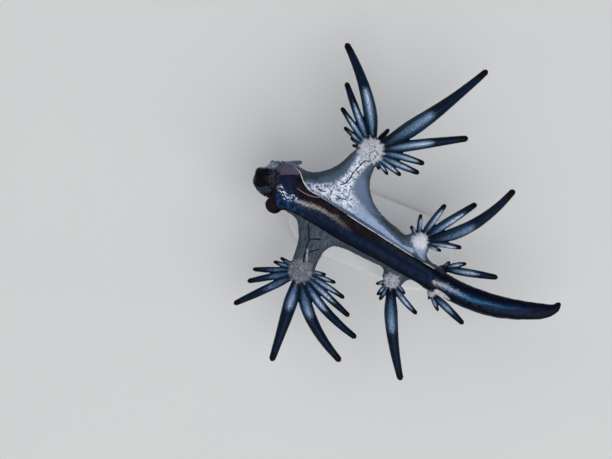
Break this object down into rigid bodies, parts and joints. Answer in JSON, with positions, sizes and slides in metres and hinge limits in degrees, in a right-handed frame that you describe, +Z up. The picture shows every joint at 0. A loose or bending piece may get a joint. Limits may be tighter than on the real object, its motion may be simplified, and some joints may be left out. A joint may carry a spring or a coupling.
{
  "type": "blue dragon sea slug",
  "caption": "Life-size model of a floating sea slug, belly up, with fans of pointed cerata on three pairs of short arms and a slim curved tail, held on a low display stand",
  "frame": {"origin": "centre of the underside of the stand's base", "axes": "+X along the body from head to tail, +Y to the animal's left, +Z up, which is the side of the belly and foot, because the animal floats upside down"},
  "size_m": [0.0383, 0.0404, 0.0115],
  "materials": {
    "silver_skin": "wet, silver-blue",
    "dark_skin": "wet, dark navy",
    "cerata_skin": "wet, deep blue",
    "stand_white": "satin"
  },
  "bodies": {
    "root": {"stand_base": "stand_white", "stand_rod_front": "stand_white", "stand_rod_rear": "stand_white", "head": "dark_skin", "oral_tentacle_left": "dark_skin", "oral_tentacle_right": "dark_skin", "foot_front": "dark_skin", "foot_rear": "dark_skin", "tail_front": "dark_skin", "tail_middle": "dark_skin", "tail_tip": "dark_skin", "cerata_front_left": "cerata_skin", "cerata_front_right": "cerata_skin", "arm_rear_left": "cerata_skin", "arm_rear_right": "cerata_skin", "torso_front": "silver_skin", "torso_rear": "silver_skin", "rhinophore_left": "silver_skin", "rhinophore_right": "silver_skin", "arm_front_left": "silver_skin", "arm_front_right": "silver_skin", "arm_middle_left": "silver_skin", "arm_middle_right": "silver_skin"}
  },
  "joints": []
}
